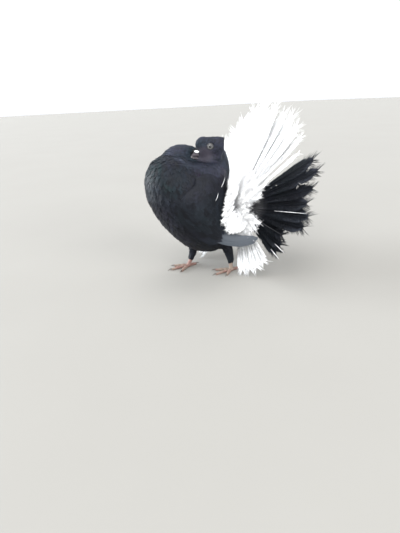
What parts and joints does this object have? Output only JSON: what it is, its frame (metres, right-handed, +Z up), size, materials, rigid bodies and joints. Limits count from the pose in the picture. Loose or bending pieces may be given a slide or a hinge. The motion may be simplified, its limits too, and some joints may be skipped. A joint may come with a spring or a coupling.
{
  "type": "fantail pigeon",
  "caption": "Life-size still model of a black fantail pigeon standing with its head drawn back, wings low, and a white and black tail raised in a full fan",
  "frame": {"origin": "on the floor, under the middle of the bird's whole extent", "axes": "+Z up, the bird faces -Y, its left side is +X"},
  "size_m": [0.313, 0.2302, 0.2462],
  "materials": {
    "black_plumage": "blue-black feathers with a faint green and purple sheen",
    "wing_plumage": "slate-black flight feathers and coverts, satin",
    "white_plumage": "silky white feathers with frayed tips",
    "bill_horn": "grey-purple horn, paler at the tip, satin",
    "cere_powder": "powdery white skin",
    "eye": "pale grey iris, dark pupil, wet gloss",
    "foot_skin": "dull red-brown scaled skin, a little dirty",
    "claw_horn": "dark horn, satin"
  },
  "bodies": {
    "root": {"bill_lower": "bill_horn", "bill_upper": "bill_horn", "cere": "cere_powder", "claw_left_hind": "claw_horn", "claw_left_inner": "claw_horn", "claw_left_middle": "claw_horn", "claw_left_outer": "claw_horn", "claw_right_hind": "claw_horn", "claw_right_inner": "claw_horn", "claw_right_middle": "claw_horn", "claw_right_outer": "claw_horn", "eye_left": "eye", "eye_right": "eye", "foot_left": "foot_skin", "foot_right": "foot_skin", "head": "black_plumage", "leg_left": "black_plumage", "leg_right": "black_plumage", "neck": "black_plumage", "tail_coverts_back": "white_plumage", "tail_coverts_front": "white_plumage", "tail_lower_left": "white_plumage", "tail_lower_right": "white_plumage", "tail_middle": "white_plumage", "tail_side_left": "black_plumage", "tail_side_right": "black_plumage", "torso": "black_plumage", "wing_left": "wing_plumage", "wing_right": "wing_plumage"}
  },
  "joints": []
}
